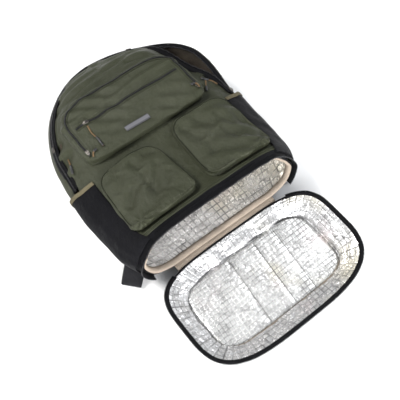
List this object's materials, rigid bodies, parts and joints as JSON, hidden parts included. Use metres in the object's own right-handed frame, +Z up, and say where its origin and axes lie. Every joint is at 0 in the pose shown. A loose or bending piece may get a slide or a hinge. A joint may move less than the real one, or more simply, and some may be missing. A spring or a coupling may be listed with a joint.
{
  "type": "cooler backpack",
  "caption": "Cooler backpack lying on its back, zipped front pockets, with the foil-lined cooler in its bottom open and its shallow tray lid folded out.",
  "frame": {"origin": "middle of the plan, on the floor the bag lies on", "axes": "+Y from the cooler's tray to the top of the bag, +X to the right of the bag's front, +Z up out of its front"},
  "size_m": [0.3668, 0.6302, 0.1265],
  "materials": {
    "olive_cloth": "coated twill, dark olive",
    "black_cloth": "plain weave, near black",
    "lining_cloth": "taupe lining",
    "foil": "metallised film on foam, fine grid, crinkled",
    "binding_tape": "ribbed beige tape",
    "zip": "black coil zip",
    "slider_metal": "dull metal",
    "cord": "braided khaki cord with a dark sleeve",
    "label_cloth": "woven, grey",
    "buckle_plastic": "moulded black"
  },
  "bodies": {
    "root": {"body_shell": "olive_cloth", "front_compartment": "olive_cloth", "bellows_pocket_left": "olive_cloth", "bellows_pocket_right": "olive_cloth", "side_binding_left": "olive_cloth", "side_binding_right": "olive_cloth", "bottom_band": "black_cloth", "back_panel": "black_cloth", "shoulder_strap_left": "black_cloth", "shoulder_strap_right": "black_cloth", "strap_webbing_left": "black_cloth", "strap_webbing_right": "black_cloth", "haul_handle": "black_cloth", "side_pocket_left": "black_cloth", "side_pocket_right": "black_cloth", "tray_shell": "black_cloth", "tray_zip_tape": "black_cloth", "cooler_zip_tape": "black_cloth", "main_lining": "lining_cloth", "cooler_liner": "foil", "tray_liner": "foil", "tray_floor": "foil", "cooler_binding": "binding_tape", "hinge_strip": "binding_tape", "front_zip": "zip", "pocket_zip": "zip", "main_zip_back": "zip", "main_zip_front": "zip", "pocket_slider": "slider_metal", "front_slider_left": "slider_metal", "front_slider_right": "slider_metal", "main_slider_right": "slider_metal", "main_slider_top": "slider_metal", "main_slider_left": "slider_metal", "pocket_pull": "cord", "front_pull_left": "cord", "front_pull_right": "cord", "main_pull_right": "cord", "main_pull_hanging": "cord", "main_pull_left": "cord", "label": "label_cloth", "strap_buckle_left": "buckle_plastic", "strap_buckle_right": "buckle_plastic"}
  },
  "joints": []
}
